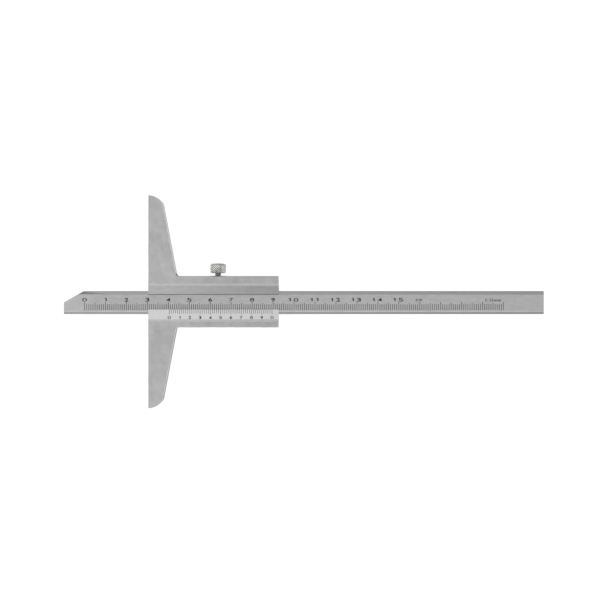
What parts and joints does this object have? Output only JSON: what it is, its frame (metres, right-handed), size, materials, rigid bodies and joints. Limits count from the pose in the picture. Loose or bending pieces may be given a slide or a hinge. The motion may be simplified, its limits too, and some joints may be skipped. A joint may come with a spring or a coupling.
{
  "type": "vernier depth gauge",
  "caption": "Vernier depth gauge: a graduated flat beam slides through a bevelled slider with a wide tapered crosshead and is locked by a knurled screw.",
  "frame": {"origin": "middle of the slider's flat back face, on which the gauge lies", "axes": "+X along the beam, away from its measuring tip; +Y across the beam, towards the locking screw; +Z out of the graduated front"},
  "size_m": [0.2293, 0.1018, 0.008],
  "materials": {
    "ground_steel": "fine ground, satin",
    "satin_beam": "satin chromed, black engraved graduations",
    "knurled_steel": "diamond knurled, bright",
    "screw_steel": "dark machined",
    "gib_bronze": "plain rolled strip"
  },
  "bodies": {
    "slider": {"slider_body": "ground_steel", "gib_screw_1": "screw_steel", "gib_screw_2": "screw_steel"},
    "beam": {"beam": "satin_beam"},
    "gib": {"gib": "gib_bronze"},
    "lock_screw": {"lock_screw": "knurled_steel"}
  },
  "joints": [
    {"name": "beam_slide", "type": "slide", "parent": "slider", "child": "beam", "axis": [-1, 0, 0], "range_m": [-0.0405, 0.1095]},
    {"name": "gib_float", "type": "slide", "parent": "slider", "child": "gib", "axis": [0, 1, 0], "range_m": [0, 0.00025]},
    {"name": "lock_screw_turn", "type": "hinge", "parent": "gib", "child": "lock_screw", "pos_m": [0.00205, 0, 0.00405], "axis": [0, 1, 0], "range_deg": [0, 180]}
  ],
  "couplings": [
    {"joint": "lock_screw_turn", "follows": "gib_float", "rad_per_m": 12566}
  ]
}
